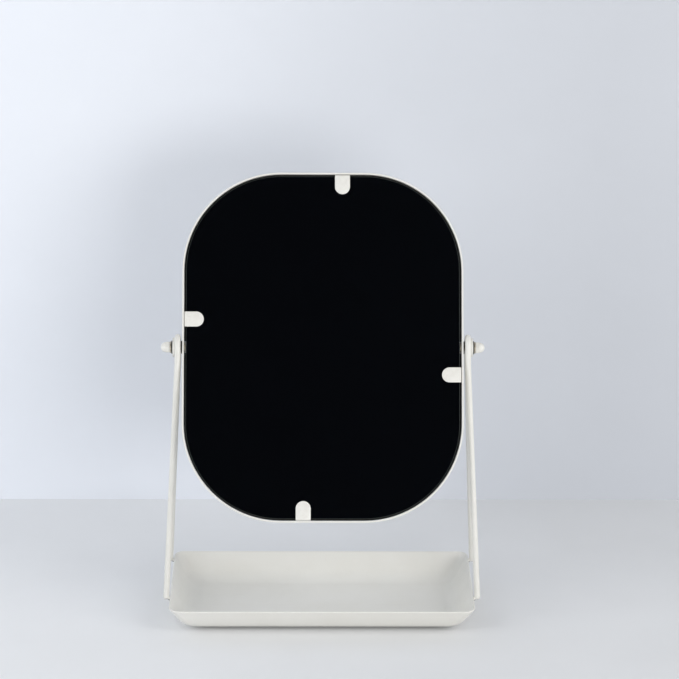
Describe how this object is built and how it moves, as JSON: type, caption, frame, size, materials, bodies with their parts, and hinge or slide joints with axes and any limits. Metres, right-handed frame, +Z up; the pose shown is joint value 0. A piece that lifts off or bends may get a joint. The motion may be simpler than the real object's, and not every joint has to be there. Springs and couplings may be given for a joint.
{
  "type": "countertop mirror",
  "caption": "Free-standing double-sided swivel mirror with rounded corners, held between bent-rod legs on a shallow pressed-metal tray.",
  "frame": {"origin": "on the surface the mirror stands on, under the centre of the whole object's bounding box with the mirror at its rest tilt", "axes": "+X along the pivot axis, to the right seen from the front; +Y from front to back; +Z up"},
  "size_m": [0.2342, 0.1167, 0.322],
  "materials": {
    "cream_enamel": "off-white powder coat, satin, with a very fine orange-peel texture",
    "mirror_glass": "silvered float glass, polished",
    "board": "fibreboard, stained black, matt",
    "dark_washers": "dark nylon, matt",
    "zinc_hardware": "yellowish zinc plate, satin",
    "pads": "dark rubber, matt"
  },
  "bodies": {
    "stand": {"tray": "cream_enamel", "foot_pad_front_left": "pads", "foot_pad_front_right": "pads", "foot_pad_rear_left": "pads", "foot_pad_rear_right": "pads", "leg_left": "cream_enamel", "leg_right": "cream_enamel", "pivot_eye_left": "cream_enamel", "pivot_eye_right": "cream_enamel"},
    "mirror_head": {"frame_band": "cream_enamel", "front_glass": "mirror_glass", "rear_glass": "mirror_glass", "core_board": "board", "front_clip_top": "cream_enamel", "front_clip_right": "cream_enamel", "front_clip_bottom": "cream_enamel", "front_clip_left": "cream_enamel", "rear_clip_top": "cream_enamel", "rear_clip_right": "cream_enamel", "rear_clip_bottom": "cream_enamel", "rear_clip_left": "cream_enamel", "pivot_stud_left": "zinc_hardware", "spacer_washer_left": "dark_washers", "friction_washer_left": "dark_washers", "spring_washer_left": "zinc_hardware", "cap_nut_left": "cream_enamel", "pivot_stud_right": "zinc_hardware", "spacer_washer_right": "dark_washers", "friction_washer_right": "dark_washers", "spring_washer_right": "zinc_hardware", "cap_nut_right": "cream_enamel"}
  },
  "joints": [
    {"name": "mirror_tilt", "type": "hinge", "parent": "stand", "child": "mirror_head", "pos_m": [0, 0.0015, 0.204], "axis": [1, 0, 0], "continuous": true}
  ]
}
